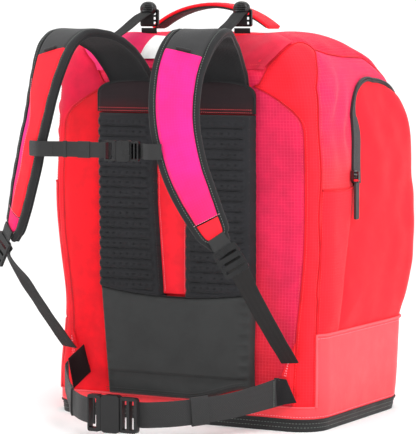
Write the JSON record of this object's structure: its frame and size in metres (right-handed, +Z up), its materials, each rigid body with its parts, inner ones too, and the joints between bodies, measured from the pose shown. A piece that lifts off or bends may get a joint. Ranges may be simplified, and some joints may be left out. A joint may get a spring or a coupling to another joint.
{
  "type": "ski boot bag",
  "caption": "Large upright backpack for ski boots, with a ribbed back panel, padded shoulder straps, chest and hip straps, zipped boot doors and a stiff base tray.",
  "frame": {"origin": "centre of the base on the ground, midway between the side walls and between the rear panel and the lower front", "axes": "+Z up, -Y out of the harness side towards the wearer, +X to the right when the harness side is looked at"},
  "size_m": [0.4526, 0.5616, 0.5765],
  "materials": {
    "red_fabric": "ripstop weave",
    "coral_coated_fabric": "smooth coated",
    "pink_fabric": "plain weave",
    "charcoal_tray": "matt",
    "stiff_sheet": "matt",
    "aluminium_stay": "brushed",
    "black_mesh": "three-dimensional mesh",
    "white_label": "satin",
    "zip_tape": "woven",
    "black_webbing": "woven webbing",
    "black_acetal": "satin moulded",
    "zip_metal": "black lacquer",
    "pull_rubber": "matt"
  },
  "bodies": {
    "bag": {"base_tray": "charcoal_tray", "blank_label": "white_label", "frame_sheet": "stiff_sheet", "frame_stays": "aluminium_stay", "front_wall": "red_fabric", "hip_belt_keepers": "black_webbing", "hip_buckle_socket": "black_acetal", "left_back_pad": "black_mesh", "left_boot_divider": "stiff_sheet", "left_corner_tab": "coral_coated_fabric", "left_hip_belt": "black_webbing", "left_hip_wing": "black_mesh", "left_load_lifter": "black_webbing", "left_lower_webbing": "black_webbing", "left_shoulder_strap": "red_fabric", "left_side_pocket": "red_fabric", "left_side_wall": "red_fabric", "left_zip_tape": "zip_tape", "load_lifter_anchors": "black_webbing", "lower_band": "coral_coated_fabric", "lumbar_pad": "black_mesh", "main_zip_tape": "zip_tape", "rear_flap": "pink_fabric", "rear_wall": "red_fabric", "right_back_pad": "black_mesh", "right_boot_divider": "stiff_sheet", "right_corner_tab": "coral_coated_fabric", "right_hip_belt": "black_webbing", "right_hip_wing": "black_mesh", "right_load_lifter": "black_webbing", "right_lower_webbing": "black_webbing", "right_shoulder_strap": "red_fabric", "right_side_pocket": "red_fabric", "right_side_wall": "red_fabric", "right_zip_tape": "zip_tape", "spine_channel": "red_fabric", "top_panel": "red_fabric", "yoke_panel": "black_mesh"},
    "carry_handle": {"carry_handle": "black_webbing"},
    "right_boot_door": {"right_boot_door": "red_fabric", "right_door_zip": "zip_tape"},
    "left_boot_door": {"left_boot_door": "red_fabric", "left_door_zip": "zip_tape"},
    "main_door": {"main_door": "red_fabric", "main_door_zip": "zip_tape"},
    "right_zip_slider": {"right_zip_slider": "zip_metal"},
    "left_zip_slider": {"left_zip_slider": "zip_metal"},
    "main_zip_slider": {"main_zip_slider": "zip_metal"},
    "right_zip_pull": {"right_zip_pull": "pull_rubber"},
    "left_zip_pull": {"left_zip_pull": "pull_rubber"},
    "main_zip_pull": {"main_zip_pull": "pull_rubber"},
    "right_ladder_lock": {"right_ladder_lock": "black_acetal"},
    "left_ladder_lock": {"left_ladder_lock": "black_acetal"},
    "right_lifter_lock": {"right_lifter_lock": "black_acetal"},
    "left_lifter_lock": {"left_lifter_lock": "black_acetal"},
    "chest_strap": {"left_chest_webbing": "black_webbing", "right_chest_webbing": "black_webbing", "chest_buckle_socket": "black_acetal"},
    "chest_plug": {"chest_buckle_plug": "black_acetal"},
    "hip_plug": {"hip_buckle_plug": "black_acetal"}
  },
  "joints": [
    {"name": "carry_handle_swing", "type": "hinge", "parent": "bag", "child": "carry_handle", "pos_m": [0, -0.05, 0.545], "axis": [1, 0, 0], "range_deg": [-20, 20]},
    {"name": "right_boot_door_fold", "type": "hinge", "parent": "bag", "child": "right_boot_door", "pos_m": [0.21393, 0.048, 0.331], "axis": [0, 1, 0], "range_deg": [0, 95]},
    {"name": "left_boot_door_fold", "type": "hinge", "parent": "bag", "child": "left_boot_door", "pos_m": [-0.21393, 0.048, 0.331], "axis": [0, -1, 0], "range_deg": [0, 95]},
    {"name": "main_door_fold", "type": "hinge", "parent": "bag", "child": "main_door", "pos_m": [0, 0.1625, 0.15], "axis": [-1, 0, 0], "range_deg": [0, 95]},
    {"name": "right_zip_travel", "type": "slide", "parent": "bag", "child": "right_zip_slider", "axis": [-0.03, 0, 0.9996], "range_m": [0, 0.085]},
    {"name": "left_zip_travel", "type": "slide", "parent": "bag", "child": "left_zip_slider", "axis": [0.03, 0, 0.9996], "range_m": [0, 0.085]},
    {"name": "main_zip_travel", "type": "slide", "parent": "bag", "child": "main_zip_slider", "axis": [0, 0.0797, 0.9968], "range_m": [0, 0.1]},
    {"name": "right_zip_pull_swing", "type": "hinge", "parent": "right_zip_slider", "child": "right_zip_pull", "pos_m": [0.2227, -0.06, 0.341], "axis": [0, -1, 0], "range_deg": [0, 120]},
    {"name": "left_zip_pull_swing", "type": "hinge", "parent": "left_zip_slider", "child": "left_zip_pull", "pos_m": [-0.2227, -0.06, 0.341], "axis": [0, 1, 0], "range_deg": [0, 120]},
    {"name": "main_zip_pull_swing", "type": "hinge", "parent": "main_zip_slider", "child": "main_zip_pull", "pos_m": [0.144, 0.1783, 0.19], "axis": [1, 0, 0], "range_deg": [0, 120]},
    {"name": "right_ladder_lock_tilt", "type": "hinge", "parent": "bag", "child": "right_ladder_lock", "pos_m": [0.16599, -0.33385, 0.26109], "axis": [-0.7473, -0.4212, -0.5139], "range_deg": [0, 35]},
    {"name": "left_ladder_lock_tilt", "type": "hinge", "parent": "bag", "child": "left_ladder_lock", "pos_m": [-0.16599, -0.33385, 0.26109], "axis": [-0.7473, 0.4212, 0.5139], "range_deg": [0, 35]},
    {"name": "right_lifter_lock_tilt", "type": "hinge", "parent": "bag", "child": "right_lifter_lock", "pos_m": [0.073, -0.107, 0.544], "axis": [1, 0, 0], "range_deg": [-20, 12]},
    {"name": "left_lifter_lock_tilt", "type": "hinge", "parent": "bag", "child": "left_lifter_lock", "pos_m": [-0.073, -0.107, 0.544], "axis": [1, 0, 0], "range_deg": [-20, 12]},
    {"name": "chest_strap_height", "type": "slide", "parent": "bag", "child": "chest_strap", "axis": [0, 0, 1], "range_m": [0, 0.06]},
    {"name": "chest_buckle_release", "type": "slide", "parent": "chest_strap", "child": "chest_plug", "axis": [-1, 0, 0], "range_m": [0, 0.035]},
    {"name": "hip_buckle_release", "type": "slide", "parent": "bag", "child": "hip_plug", "axis": [-1, 0, 0], "range_m": [0, 0.04]}
  ]
}
